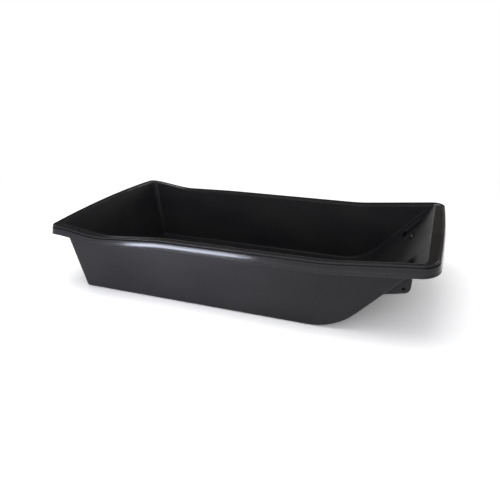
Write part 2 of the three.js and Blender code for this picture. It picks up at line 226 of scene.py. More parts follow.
class SledBolt(bpy.types.PropertyGroup):
    """The bolt through the ramp, with its washers and its lock nut."""

    from_bow: length("Bolt from bow", "From the bow crest back to the bolt", 0.115)
    y: length("Bolt place", "From the sled's centre plane to the bolt", 0.100)
    diameter: length("Diameter", "Shank of the bolt", 0.008)
    hole: length("Hole", "Hole for the bolt in the ramp", 0.009)
    pitch: length("Pitch", "Rise of the thread in one turn", 0.00125)
    head: length("Head", "Diameter of the domed head", 0.014)
    head_height: length("Head height", "Height of the domed head", 0.0044)
    head_rim: length("Head rim", "Straight side below the dome", 0.001)
    socket: length("Socket", "Across the flats of the socket", 0.005)
    socket_depth: length("Socket depth", "Depth of the socket", 0.0026)
    chamfer: length("Chamfer", "Chamfer at the end of the bolt", 0.001)
    tail: length("Tail", "How far the bolt stands out of the nut", 0.003)
    washer: length("Washer", "Diameter of both washers", 0.030)
    washer_thickness: length("Washer thickness", "Thickness of both washers", 0.0015)
    washer_edge: length("Washer edge", "Rounding of a washer's edges", 0.0004)
    nut: length("Nut", "Across the flats of the nut", 0.013)
    nut_height: length("Nut height", "Height of the nut's hexagon", 0.0065)
    collar: length("Collar", "Diameter of the nut's locking collar", 0.0116)
    collar_height: length("Collar height", "Height of the nut's locking collar", 0.0016)
    clearance: length("Clearance", "Gap between pieces that touch", 0.0003)


class SledFinish(bpy.types.PropertyGroup):
    """Colours of the sled and of the studio."""

    plastic: colour("Plastic", "Black moulded polyethylene", (0.0110, 0.0104, 0.0128, 1))
    plastic_pale: colour("Plastic, paler", "Where the plastic is paler", (0.0175, 0.0168, 0.0186, 1))
    zinc: colour("Zinc", "Zinc plating", (0.24, 0.245, 0.25, 1))
    zinc_dull: colour("Zinc, duller", "Where the plating has dulled", (0.13, 0.132, 0.136, 1))
    washer: colour("Washer", "Dark zinc plating on the washers", (0.055, 0.055, 0.058, 1))
    washer_dull: colour("Washer, duller", "Where the washers' plating has dulled", (0.030, 0.030, 0.031, 1))
    floor: colour("Floor", "Studio floor", (0.80, 0.80, 0.81, 1))


def mix(first, second, share):
    return first + (second - first) * share


def eased(share):
    """A share that starts and ends gently."""
    share = min(1.0, max(0.0, share))
    return share * share * (3 - 2 * share)


def rim():
    return bpy.context.scene.sled_rim


def tub():
    return bpy.context.scene.sled_tub


def ears():
    return bpy.context.scene.sled_ears


def bolt():
    return bpy.context.scene.sled_bolt


def finish():
    return bpy.context.scene.sled_finish


def crest_ends():
    """Place of the crest at the stern and at the bow, from the frame's own length."""
    return HULL_LOW.x + rim().lip_reach, HULL_HIGH.x - rim().lip_reach


def along(knots, x):
    """A value that runs straight between knots, with each corner eased."""
    reach = rim().kink_blend
    total = 0
    for k in range(EASING_SAMPLES):
        at = x + reach * ((2 * k + 1) / EASING_SAMPLES - 1)
        pairs = zip(knots, knots[1:])
        (x0, v0), (x1, v1) = next((p for p in pairs if at <= p[1][0]), knots[-2:])
        total += mix(v0, v1, (at - x0) / (x1 - x0))
    return total / EASING_SAMPLES


def crest_height(x, y):
    """Height of the crest. The stern's is crowned between its corners."""
    r = rim()
    stern, bow = crest_ends()
    side = along(
        [
            (stern, r.stern_height),
            (r.level_x, r.stern_height),
            (r.stern_kink_x, r.stern_kink_height),
            (r.waist_x, r.waist_height),
            (r.bow_kink_x, r.bow_kink_height),
            (bow, HULL_HIGH.z),
        ],
        x,
    )
    across = 1 - (y / r.stern_half_width) ** 2
    near_stern = min(1, max(0, (stern + 2 * r.flange_width - x) / r.flange_width))
    return side + r.stern_crown * across * near_stern


def crest_half_width(x):
    r = rim()
    stern, bow = crest_ends()
    return along(
        [
            (stern, r.stern_half_width),
            (r.stern_kink_x, r.stern_half_width),
            (r.waist_x, r.bow_half_width),
            (bow, r.bow_half_width),
        ],
        x,
    )


def columns():
    """The hull's columns from the middle of the stern by port to the middle of the bow, as (run, share)."""
    counts = (STERN_COLUMNS, CORNER_COLUMNS, SIDE_COLUMNS, CORNER_COLUMNS, BOW_COLUMNS)
    found = [(run, i / count) for run, count in zip(RUNS, counts) for i in range(count)]
    return found + [("bow", 1.0)]


def with_starboard(port):
    """Closes a ring of places on the port half with their mirror images."""
    return port + [Vector((p.x, -p.y, p.z)) for p in port[-2:0:-1]]


def whole_ring(place):
    """A closed ring of places, from a function that places the port half's columns."""
    return with_starboard([Vector(place(run, share)) for run, share in columns()])


def on_outline(run, share, stern_x, bow_x, half_width, stern_radius, bow_radius):
    """A place in plan on an outline with rounded corners."""
    angle = share * math.pi / 2
    if run == "stern":
        return stern_x, (half_width(stern_x + stern_radius) - stern_radius) * share
    if run == "stern_corner":
        half = half_width(stern_x + stern_radius)
        return stern_x + stern_radius * (1 - math.cos(angle)), half - stern_radius * (1 - math.sin(angle))
    if run == "side":
        x = mix(stern_x + stern_radius, bow_x - bow_radius, share)
        return x, half_width(x)
    half = half_width(bow_x - bow_radius)
    if run == "bow_corner":
        return bow_x - bow_radius * (1 - math.sin(angle)), half - bow_radius * (1 - math.cos(angle))
    return bow_x, (half - bow_radius) * (1 - share)


def bow_share(run, share):
    """0 along the stern and sides, 1 along the bow, eased round the bow corner."""
    return {"bow": 1.0, "bow_corner": eased(share)}.get(run, 0.0)


def set_back(y):
    """How far back the bow's crest lies from its foremost place, so far from the centre plane."""
    r = rim()
    return r.bow_bulge * (y / r.bow_half_width) ** 2


def on_crest(run, share):
    """A place on the crest in plan. The bow bulges forward: it is set back towards its corners."""
    r = rim()
    stern, bow = crest_ends()
    x, y = on_outline(run, share, stern, bow, crest_half_width, r.stern_radius, r.bow_radius)
    round_bow = min(1, max(0, (x - bow) / r.bow_radius + 1))
    return x - set_back(y) * round_bow, y


def way_out(run, share):
    """The way out from the crest, in plan."""
    angle = share * math.pi / 2
    if run in ("bow_corner", "bow"):
        r = rim()
        angle = angle if run == "bow_corner" else math.pi / 2
        y = on_crest(run, share)[1]
        back = set_back(y) / r.bow_radius
        lean = 2 * r.bow_bulge * y / r.bow_half_width ** 2
        return Vector(
            (math.sin(angle), math.cos(angle) * (1 - back) + lean * math.sin(angle) ** 2)
        ).normalized()
    if run == "side":
        x = on_crest(run, share)[0]
        step = rim().kink_blend / 8
        rise = (crest_half_width(x + step) - crest_half_width(x - step)) / (2 * step)
        return Vector((-rise, 1)).normalized()
    return {
        "stern": Vector((-1, 0)),
        "stern_corner": Vector((-math.cos(angle), math.sin(angle))),
    }[run]


def lip_share(x):
    """How much of the lip below the face is there: it runs out between the waist and the stern kink."""
    r = rim()
    stern, bow = crest_ends()
    at_stern = (r.stern_lip_drop - r.face_drop) / (r.lip_drop - r.face_drop)
    return along([(stern, at_stern), (r.stern_kink_x, at_stern), (r.waist_x, 1), (bow, 1)], x)


def on_rim(run, share, outward, up):
    """A place on the rim. Inward of the crest, the widths share out the way to the tub's mouth."""
    r = rim()
    crest = Vector(on_crest(run, share))
    height = crest_height(*crest) + up
    if -up > r.face_drop:
        height += (-up - r.face_drop) * (1 - lip_share(crest.x))
    if outward >= 0:
        place = crest + way_out(run, share) * outward
        return place.x, place.y, height
    stern, bow = crest_ends()
    mouth = Vector(
        on_outline(
            run,
            share,
            stern + r.flange_width,
            bow - r.bow_flange_width,
            lambda x: crest_half_width(x) - r.flange_width,
            r.inner_stern_radius,
            r.inner_bow_radius,
        )
    )
    place = crest.lerp(mouth, -outward / r.flange_width)
    return place.x, place.y, height


def arc(centre_out, centre_up, radius, start, stop, steps):
    """Points [outward, up] on an arc, with its angles in degrees."""
    found = []
    for i in range(steps + 1):
        angle = math.radians(mix(start, stop, i / steps))
        found.append((centre_out + radius * math.cos(angle), centre_up + radius * math.sin(angle)))
    return found


def slope(start, stop, steps):
    """Points on an S-shaped way from one [outward, up] point to another."""
    shares = [i / steps for i in range(steps + 1)]
    return [(mix(start[0], stop[0], s), mix(start[1], stop[1], eased(s))) for s in shares]


def between(start, stop, shares):
    """A point between two [outward, up] points, with a share of the way for each direction."""
    return tuple(mix(a, b, share) for a, b, share in zip(start, stop, shares))


def outer_section():
    """The rim's section from the flange over the bead and down the face to the underside."""
    r = rim()
    skin = tub().skin
    flange = -r.bead_height
    groove = -r.groove_drop
    shoulder_out = r.shoulder_reach - r.shoulder_radius
    shoulder_up = groove - r.groove_radius / 2
    groove_out = shoulder_out - r.groove_radius
    lip_in = r.lip_reach - skin
    back_top = r.shoulder_reach - skin
    back_foot = r.face_reach - skin
    under = flange - skin
    edge = r.inner_edge_radius
    shoulder_centre = shoulder_up - r.shoulder_radius / 3
    face_top = (r.shoulder_reach, groove)
    face_foot = (r.face_reach, -r.face_drop)
    lip_top = -r.face_drop - LIP_STEP_SHARE * r.face_drop
    down_to_lip = slope((-r.face_drop, r.face_reach), (lip_top, r.lip_reach), LIP_STEP_RINGS)
    inner_radius = r.lip_radius / 3
    return [
        *[(share * edge - r.flange_width, flange) for share in FLANGE_EDGE_SHARES],
        (-r.flange_width / 2, flange),
        (-BEAD_FOOT_SHARE * r.bead_foot, flange),
        *slope((-r.bead_foot, flange), (0, 0), SLOPE_RINGS),
        *arc(0, -r.bead_radius, r.bead_radius, *BEAD_ARC, ROUND_RINGS),
        between((r.bead_radius, -r.bead_radius), (groove_out, groove), UNDER_BEAD_SHARES),
        *arc(groove_out, groove, r.groove_radius, *GROOVE_ARC, GROOVE_RINGS),
        *arc(shoulder_out, shoulder_centre, r.shoulder_radius, *SHOULDER_ARC, ROUND_RINGS),
        between(face_top, face_foot, UPPER_FACE_SHARES),
        between(face_top, face_foot, LOWER_FACE_SHARES),
        (r.face_reach, -r.face_drop * FACE_FOOT_SHARE),
        *[(outward, up) for up, outward in down_to_lip],
        *arc(r.lip_reach - r.lip_radius, r.lip_radius - r.lip_drop, r.lip_radius, 0, -90, ROUND_RINGS),
        *arc(lip_in + inner_radius, inner_radius - r.lip_drop, inner_radius, -90, -180, LIP_BACK_RINGS),
        (lip_in, -r.face_drop - LIP_BACK_SHARE * r.face_drop),
        (back_foot, -r.face_drop * FACE_FOOT_SHARE),
        (back_top, under - 2 * r.under_radius),
        *arc(back_top - r.under_radius, under - r.under_radius, r.under_radius, 0, 90, ROUND_RINGS),
        (-r.flange_width / 2, under),
    ]


def wall_turn(run, share):
    """How far a rounding turns from level into the wall, or into the ramp at the bow, as its own angle."""
    r = rim()
    stretch = r.bow_flange_width / r.flange_width
    into_ramp = math.atan(math.tan(tub().ramp_angle) * stretch)
    return mix(math.pi / 2, into_ramp, bow_share(run, share))


def edge_ring(part):
    """A ring of the rounding between the flange and the tub: part 0 at the flange and 1 at the tub."""
    r = rim()
    radius = r.inner_edge_radius

    def place(run, share):
        angle = wall_turn(run, share) * part
        outward = radius - r.flange_width - radius * math.sin(angle)
        return on_rim(run, share, outward, radius * math.cos(angle) - radius - r.bead_height)

    return whole_ring(place)


def under_ring(part):
    """A ring of the fillet between the rim's underside and the outer wall, or the ramp's outer face."""
    r = rim()
    skin = tub().skin
    radius = r.under_radius
    stretch = r.bow_flange_width / r.flange_width
    up = -r.bead_height - skin - radius

    def place(run, share):
        whole = wall_turn(run, share)
        angle = whole * part
        end = HULL_HIGH.z + up + radius * math.cos(whole)
        centre_x = ramp_x(end, skin) + radius * stretch * math.sin(whole)
        at_bow = (centre_x - crest_ends()[1]) / stretch
        at_side = skin + radius - r.flange_width
        centre = mix(at_side, at_bow, bow_share(run, share))
        return on_rim(run, share, centre - radius * math.sin(angle), up + radius * math.cos(angle))

    return whole_ring(place)


def edge_centre():
    """The bow edge's rounding: its middle, and how far the ramp's inner face lies above it."""
    r = rim()
    angle = tub().ramp_angle
    reach = r.inner_edge_radius * r.bow_flange_width / r.flange_width
    centre_x = crest_ends()[1] - r.bow_flange_width + reach
    centre_z = HULL_HIGH.z - r.bead_height - r.inner_edge_radius
    away = math.hypot(reach * math.sin(angle), r.inner_edge_radius * math.cos(angle))
    return centre_x, centre_z, away


def ramp_height(x, out=0.0):
    """Height of a point on the ramp, so far out from its inner face."""
    centre_x, centre_z, away = edge_centre()
    angle = tub().ramp_angle
    return centre_z + ((x - centre_x) * math.sin(angle) + away - out) / math.cos(angle)


def ramp_x(height, out=0.0):
    """Place along the sled of a point on the ramp, so far out from its inner face."""
    centre_x, centre_z, away = edge_centre()
    angle = tub().ramp_angle
    return centre_x + ((height - centre_z) * math.cos(angle) - away + out) / math.sin(angle)


def bend_x():
    """Where the floor starts to bend up into the ramp."""
    t = tub()
    return ramp_x(t.ramp_radius) - (t.ramp_radius - t.skin) / math.sin(t.ramp_angle)


class TubFace:
    """One face of the tub: the inner one, or the outer one a skin further out."""

    def __init__(self, outer, mouth):
        t = tub()
        self.inward = 0.0 if outer else t.skin
        self.out = t.skin if outer else 0.0
        self.round = t.foot_radius - self.inward / 2
        self.bend = t.ramp_radius - self.inward
        self.base = self.inward + self.round
        self.mouth = mouth
        self.half = t.bottom_half_width - self.inward
        self.stern = t.bottom_stern_x + self.inward
        self.corner = t.bottom_corner_radius - self.inward
        runs = [run for run, share in columns()]
        bow_corner = mouth[runs.index("bow_corner")]
        self.mouth_first = mouth[runs.index("side")].x
        self.mouth_last = bow_corner.x
        self.mouth_half = bow_corner.y

    def fore(self, height, angle, fillet):
        """How far forward the fillet between wall and ramp reaches, at an angle from the ramp."""
        t = tub()
        rise = height - self.inward
        inset = fillet * (1 - math.cos(angle))
        start = bend_x()
        ahead = math.sqrt(max(0.0, (self.bend - inset) ** 2 - (self.bend - rise) ** 2))
        if math.atan2(ahead, self.bend - rise) <= t.ramp_angle:
            return start + ahead
        return ramp_x(height, self.out) - inset / math.sin(t.ramp_angle)

    def place(self, index, run, share, level, foot):
        """A place at a share of the wall's height, or so far round the foot where foot is an angle."""
        t = tub()
        top = self.mouth[index]
        turned = math.pi / 2 if foot is None else foot
        inset = self.round * (1 - math.sin(turned))
        if foot is None:
            height = mix(self.base, top.z, level)
        else:
            height = self.inward + self.round * (1 - math.cos(foot))
        half = mix(self.half, abs(top.y), level) - inset
        if run in ("stern", "stern_corner"):
            stern = self.stern + inset
            radius = self.corner - inset
            low = on_outline(run, share, stern, bend_x(), lambda x: self.half - inset, radius, 0)
            return mix(low[0], top.x, level), mix(low[1], top.y, level), height
        narrowed = eased((level - 1 + NARROWING_SHARE) / NARROWING_SHARE)
        narrow = mix(self.round, rim().inner_bow_radius, narrowed)
        if run == "side":
            first = mix(self.stern + self.corner, self.mouth_first, level)
            last = self.fore(height, turned, narrow)
            if top.x <= t.fan_x:
                way = (top.x - self.mouth_first) / (t.fan_x - self.mouth_first)
                return mix(first, t.fan_x, way), half, height
            return mix(t.fan_x, last, (top.x - t.fan_x) / (self.mouth_last - t.fan_x)), half, height
        wall = mix(self.half, self.mouth_half, level)
        if run == "bow_corner":
            angle = turned * (1 - share)
            return self.fore(height, angle, narrow), wall - narrow * (1 - math.sin(angle)), height
        return self.fore(height, 0.0, narrow), (wall - narrow) * (1 - share), height

    def ring(self, level=0.0, foot=None):
        return with_starboard(
            [Vector(self.place(i, run, share, level, foot)) for i, (run, share) in enumerate(columns())]
        )

    def rings(self):
        """From just below the mouth down to the floor's edge."""
        levels = [(k / WALL_RINGS) ** RING_CROWDING for k in range(WALL_RINGS - 1, -1, -1)]
        feet = [math.pi / 2 * k / ROUND_RINGS for k in range(ROUND_RINGS - 1, -1, -1)]
        return [self.ring(level) for level in levels] + [self.ring(foot=foot) for foot in feet]


def panel_rings(outer):
    """From the foot of the floor panel's slope up to its middle, or of the hollow beneath it."""
    t = tub()
    floor = 0.0 if outer else t.skin
    steps = []
    for k in range(SLOPE_RINGS + 1):
        share = k / SLOPE_RINGS
        steps.append((t.panel_slope * PANEL_SPREAD * (1 - share), t.panel_rise * eased(share)))
    steps += [(-t.panel_slope / 4, t.panel_rise), (-t.panel_radius, t.panel_rise)]
    steps += [(-t.panel_half_width * share, t.panel_rise) for share in PANEL_SHARES]
    found = []
    for grow, rise in steps:
        radius = max(t.panel_radius + grow, t.panel_radius / 8)

        def place(run, share, grow=grow, rise=rise, radius=radius):
            stern = t.bottom_stern_x + t.panel_from_stern - grow
            bow = bend_x() - t.panel_from_bend + grow
            x, y = on_outline(run, share, stern, bow, lambda at: t.panel_half_width + grow, radius, radius)
            return x, y, floor + rise

        found.append(whole_ring(place))
    return found


def hull_rings():
    """Every ring of the hull's surface, from the middle of the floor over the rim to the middle beneath."""
    parts = [k / ROUND_RINGS for k in range(ROUND_RINGS + 1)]
    edge = [edge_ring(part) for part in parts]
    under = [under_ring(part) for part in parts]
    inner = TubFace(False, edge[-1])
    outer = TubFace(True, under[-1])
    over = [whole_ring(lambda run, share, at=at: on_rim(run, share, *at)) for at in outer_section()]
    return (
        panel_rings(False)[::-1]
        + inner.rings()[::-1]
        + edge[::-1]
        + over
        + under
        + outer.rings()
        + panel_rings(True)
    )


def start_ring(bm, places, capped=True):
    """A ring of vertices at the given places."""
    ring = bmesh.ops.create_circle(bm, cap_ends=capped, radius=1, segments=len(places))["verts"]
    for vert, place in zip(ring, places):
        vert.co = place
    return ring


def edges_of(bm, ring):
    """The edges of a closed ring of vertices."""
    return [bm.edges.get(pair) for pair in zip(ring, ring[1:] + ring[:1])]


def grow_ring(bm, ring, places):
    """Extrudes a ring's edges, and moves the new ring to the given places."""
    made = bmesh.ops.extrude_edge_only(bm, edges=edges_of(bm, ring))["geom"]
    fresh = {g for g in made if isinstance(g, bmesh.types.BMVert)}
    grown = [next(e.other_vert(v) for e in v.link_edges if e.other_vert(v) in fresh) for v in ring]
    for vert, place in zip(grown, places):
        vert.co = place
    return grown


def loft(bm, rings):
    """A closed surface through rings of equal count."""
    ring = start_ring(bm, rings[0])
    for places in rings[1:]:
        ring = grow_ring(bm, ring, places)
    bmesh.ops.edgeloop_fill(bm, edges=edges_of(bm, ring))


def settle(bm, distance=HULL_MERGE):
    """Merges doubles and points every face outwards."""
    bmesh.ops.remove_doubles(bm, verts=bm.verts, dist=distance)
    bmesh.ops.dissolve_degenerate(bm, edges=bm.edges, dist=distance)
    bmesh.ops.recalc_face_normals(bm, faces=bm.faces)


def new_object(name, bm):
    """Makes an object of a bmesh, and frees that."""
    mesh = bpy.data.meshes.new(name)
    bm.to_mesh(mesh)
    bm.free()
    piece = bpy.data.objects.new(name, mesh)
    bpy.context.scene.collection.objects.link(piece)
    return piece


def cut_or_join(piece, other, operation):
    """Joins another object to a piece or cuts it away, and removes that object."""
    change = piece.modifiers.new(operation.title(), "BOOLEAN")
    change.operation = operation
    change.solver = "EXACT"
    change.object = other
    bpy.context.view_layer.update()
    ready = piece.evaluated_get(bpy.context.evaluated_depsgraph_get())
    mesh = bpy.data.meshes.new_from_object(ready)
    piece.modifiers.clear()
    old = piece.data
    piece.data = mesh
    bpy.data.meshes.remove(old)
    mesh.name = piece.name
    bpy.data.objects.remove(other)


def smooth(piece, degrees):
    """Smooth shading up to an angle, with the large faces kept flat."""
    for polygon in piece.data.polygons:
        polygon.use_smooth = True
    piece.data.set_sharp_from_angle(angle=math.radians(degrees))
    weights = piece.modifiers.new("Even shading", "WEIGHTED_NORMAL")
    weights.keep_sharp = True
    weights.weight = FACE_WEIGHT


def both_sides(bm):
    """Mirrors a port shape to starboard."""
    copy = bmesh.ops.duplicate(bm, geom=bm.verts[:] + bm.edges[:] + bm.faces[:])["geom"]
    verts = [g for g in copy if isinstance(g, bmesh.types.BMVert)]
    bmesh.ops.scale(bm, vec=(1, -1, 1), verts=verts)
    bmesh.ops.recalc_face_normals(bm, faces=bm.faces)


def round_off(bm, geom, radius, segments, affect="EDGES", clamp=False):
    """Rounds off edges or vertices."""
    bmesh.ops.bevel(
        bm, geom=geom, offset=radius, offset_type="OFFSET", affect=affect, segments=segments, profile=0.5,
        material=-1, clamp_overlap=clamp,
    )


def add_rod(bm, radius, depth, matrix=Matrix(), sides=ROUND_SIDES):
    """Adds a closed rod with equal ends."""
    bmesh.ops.create_cone(
        bm, cap_ends=True, segments=sides, radius1=radius, radius2=radius, depth=depth, matrix=matrix
    )


def sole_height(x):
    """Height of an ear's sole: it rises from the ramp at the heel to the toe."""
    e = ears()
    bow = crest_ends()[1]
    heel = bow - e.heel_from_bow
    foot = ramp_height(heel, tub().skin)
    toe = HULL_HIGH.z - e.toe_drop
    return mix(foot, toe, (x - heel) / (e.heel_from_bow - e.toe_from_bow))


def make_ear_blocks():
    """Both ears as solid blocks: a side view with a rounded toe, run across, with its edges rounded."""
    e = ears()
    t = tub()
    bow = crest_ends()[1]
    heel = bow - e.heel_from_bow
    toe = bow - e.toe_from_bow
    top = toe + e.front_lean
    view = [
        (heel, sole_height(heel)),
        (toe, sole_height(toe)),
        (top, ramp_height(top, t.skin / 2)),
        (heel, ramp_height(heel, t.skin / 2)),
    ]
    bm = bmesh.new()
    verts = [bm.verts.new((x, e.inner_y, z)) for x, z in view]
    bm.faces.new(verts)
    round_off(bm, [verts[1]], e.toe_radius, TOE_SEGMENTS, affect="VERTICES")
    side = bmesh.ops.extrude_face_region(bm, geom=bm.faces[:])["geom"]
    moved = [g for g in side if isinstance(g, bmesh.types.BMVert)]
    bmesh.ops.translate(bm, vec=(0, e.outer_y - e.inner_y, 0), verts=moved)
    bmesh.ops.recalc_face_normals(bm, faces=bm.faces)
    sharp = []
    for edge in bm.edges:
        across = abs(edge.verts[0].co.y - edge.verts[1].co.y) > t.skin
        inside = all(v.co.z > ramp_height(v.co.x, t.skin * EAR_SUNK_SHARE) for v in edge.verts)
        if not across and not inside:
            sharp.append(edge)
    round_off(bm, sharp, e.edge_radius, EAR_EDGE_SEGMENTS, clamp=True)
    both_sides(bm)
    settle(bm)
    return new_object("ear_blocks", bm)


def pocket_ring(grow, height):
    """A pocket's outline in plan with rounded corners, grown so far, at a height that follows x."""
    e = ears()
    skin = tub().skin
    bow = crest_ends()[1]
    heel = bow - e.heel_from_bow + e.pocket_heel
    toe = bow - e.toe_from_bow + e.front_lean - skin
    middle_x, middle_y = (heel + toe) / 2, (e.inner_y + e.outer_y) / 2
    radius = max(e.pocket_radius + grow, e.pocket_radius / 8)
    reach_x = (toe - heel) / 2 + grow - radius
    reach_y = (e.outer_y - e.inner_y) / 2 - skin + grow - radius
    places = []
    for corner, (side_x, side_y) in enumerate(((1, 1), (-1, 1), (-1, -1), (1, -1))):
        for k in range(POCKET_COLUMNS + 1):
            angle = math.pi / 2 * (corner + k / POCKET_COLUMNS)
            x = middle_x + side_x * reach_x + radius * math.cos(angle)
            y = middle_y + side_y * reach_y + radius * math.sin(angle)
            places.append(Vector((x, y, height(x))))
    return places


def make_mouth_beads():
    """The raised edges round the pockets' mouths, as rings half sunk in the ramp."""
    e = ears()
    steep = math.cos(tub().ramp_angle)
    count = 4 * ROUND_RINGS
    rings = []
    for k in range(count):
        angle = 2 * math.pi * k / count
        lift = e.mouth_rise + e.mouth_bead * (math.sin(angle) - 1)
        grow = e.mouth_radius + e.mouth_bead * math.cos(angle)
        rings.append(pocket_ring(grow, lambda x, lift=lift: ramp_height(x) + lift / steep))
    bm = bmesh.new()
    ring = start_ring(bm, rings[0], capped=False)
    first = edges_of(bm, ring)
    for places in rings[1:]:
        ring = grow_ring(bm, ring, places)
    bmesh.ops.bridge_loops(bm, edges=first + edges_of(bm, ring))
    both_sides(bm)
    settle(bm)
    return new_object("mouth_beads", bm)


def make_pocket_cutters():
    """What the ears' pockets take out: a rounded mouth on the ramp, walls, and a rounded bottom."""
    e = ears()
    t = tub()
    steep = math.cos(t.ramp_angle)
    mouth = e.mouth_radius
    bottom = e.pocket_radius
    above = (e.mouth_rise + mouth * MOUTH_LIFT_SHARE) / steep
    rings = [pocket_ring(mouth, lambda x, lift=lift: ramp_height(x) + lift) for lift in (4 * mouth, above)]
    for k in range(POCKET_RINGS + 1):
        angle = math.radians(mix(MOUTH_FROM, 0, k / POCKET_RINGS))
        lift = (e.mouth_rise - mouth * (1 - math.sin(angle))) / steep
        rings.append(pocket_ring(mouth * (1 - math.cos(angle)), lambda x, lift=lift: ramp_height(x) + lift))
    for k in range(POCKET_RINGS + 1):
        angle = math.pi / 2 * k / POCKET_RINGS
        lift = t.skin + bottom * (1 - math.sin(angle))
        grow = -BOTTOM_SHARE * bottom * (1 - math.cos(angle))
        rings.append(pocket_ring(grow, lambda x, lift=lift: sole_height(x) + lift))
    bm = bmesh.new()
    loft(bm, rings)
    both_sides(bm)
    settle(bm)
    return new_object("pocket_cutters", bm)


def make_pin_cutters():
    """Rods through both ears, where the tow bar's pin goes."""
    e = ears()
    bm = bmesh.new()
    reach = e.outer_y - e.inner_y + 4 * e.edge_radius
    turned = Matrix.Rotation(math.pi / 2, 4, "X")
    x = crest_ends()[1] - e.pin_from_bow
    place = Vector((x, (e.inner_y + e.outer_y) / 2, HULL_HIGH.z - e.pin_drop))
    add_rod(bm, e.pin_diameter / 2, reach, Matrix.Translation(place) @ turned)
    both_sides(bm)
    return new_object("pin_cutters", bm)


def bolt_place():
    """Turns a shape whose Z axis points into the tub to stand on the ramp's inner face at the bolt."""
    b = bolt()
    x = crest_ends()[1] - b.from_bow
    return Matrix.Translation((x, b.y, ramp_height(x))) @ Matrix.Rotation(-tub().ramp_angle, 4, "Y")


def make_bolt_cutter():
    """A rod through the ramp, where the bolt goes."""
    bm = bmesh.new()
    add_rod(bm, bolt().hole / 2, 6 * tub().skin, bolt_place())
    return new_object("bolt_cutter", bm)


def turned_solid(bm, profile, closed=False):
    """Spins a profile of (radius, height) points round the Z axis: closed, or with its ends on the axis."""
    verts = [bm.verts.new((radius, 0, height)) for radius, height in profile]
    nexts = verts[1:] + verts[:1] if closed else verts[1:]
    edges = [bm.edges.new(pair) for pair in zip(verts, nexts)]
    bmesh.ops.spin(
        bm, geom=verts + edges, cent=(0, 0, 0), axis=(0, 0, 1), angle=2 * math.pi, steps=ROUND_SIDES,
        use_merge=True,
    )
    settle(bm, METAL_MERGE)


def over_corners(across_flats):
    """A hexagon's radius over its corners."""
    return across_flats / 2 / math.cos(math.pi / 6)


def hexagon(bm, across_flats, low, high):
    """A hexagonal rod between two heights."""
    add_rod(bm, over_corners(across_flats), high - low, Matrix.Translation((0, 0, (low + high) / 2)), 6)


def heights():
    """Heights along the bolt from the ramp's inner face: up into the tub, and down beneath."""
    b = bolt()
    inner = b.clearance
    head = inner + b.washer_thickness + b.clearance
    outer = -tub().skin - b.clearance - b.washer_thickness
    nut = outer - b.clearance
    nut_end = nut - b.nut_height - b.collar_height
    return {"inner": inner, "head": head, "outer": outer, "nut": nut, "nut_end": nut_end,
            "tail": nut_end - b.tail}


def taken_up(piece):
    """A piece's mesh as a bmesh again, with the piece gone."""
    bm = bmesh.new()
    bm.from_mesh(piece.data)
    bpy.data.objects.remove(piece)
    return bm


def finish_at_bolt(name, bm, material, node):
    """Stands a metal piece at the bolt, and finishes it."""
    bmesh.ops.transform(bm, matrix=bolt_place(), verts=bm.verts)
    piece = new_object(name, bm)
    dress(piece, material, node)
    smooth(piece, METAL_SHARP)


class Wire:
    """A socket of a node tree that adds, subtracts and multiplies as a number does."""

    def __init__(self, nodes, socket):
        self.nodes = nodes
        self.socket = socket

    def combine(self, operation, first, second):
        return self.nodes.node("ShaderNodeMath", {"operation": operation}, {0: first, 1: second})

    def __add__(self, other):
        return self.combine("ADD", self, other)

    def __radd__(self, other):
        return self.combine("ADD", other, self)

    def __sub__(self, other):
        return self.combine("SUBTRACT", self, other)

    def __rsub__(self, other):
        return self.combine("SUBTRACT", other, self)

    def __mul__(self, other):
        return self.combine("MULTIPLY", self, other)

    def __rmul__(self, other):
        return self.combine("MULTIPLY", other, self)

    def __or__(self, other):
        return self.combine("MAXIMUM", self, other)


class Nodes:
    """A node tree under construction."""

    def __init__(self, tree):
        self.tree = tree

    def feed(self, socket, value):
        if isinstance(value, Wire):
            self.tree.links.new(value.socket, socket)
        else:
            socket.default_value = value

    def node(self, kind, settings=None, sockets=None, output=0):
        """Adds a node: its settings first, then the values or links of its sockets."""
        made = self.tree.nodes.new(kind)
        for name, value in (settings or {}).items():
            setattr(made, name, value)
        for name, value in (sockets or {}).items():
            self.feed(made.inputs[name], value)
        return Wire(self, made.outputs[output])

    def place(self):
        return self.node("ShaderNodeTexCoord", output="Object")

    def blend(self, share, first, second):
        """A colour between two colours."""
        return self.node("ShaderNodeMix", {"data_type": "RGBA"}, {0: share, 6: first, 7: second}, 2)

    def limit(self, value, low, high, to_low=0.0, to_high=1.0, curve="LINEAR"):
        """A value spread from one range to another, and held there."""
        return self.node(
            "ShaderNodeMapRange",
            {"clamp": True, "interpolation_type": curve},
            {"Value": value, "From Min": low, "From Max": high, "To Min": to_low, "To Max": to_high},
        )

    def seen(self):
        """1 for the rays of the camera and those that gloss and glass send out, and 0 for the rest."""
        kinds = ("Camera", "Glossy", "Transmission")
        camera, glossy, clear = (
            self.node("ShaderNodeLightPath", output=f"Is {kind} Ray") for kind in kinds
        )
        return camera | glossy | clear


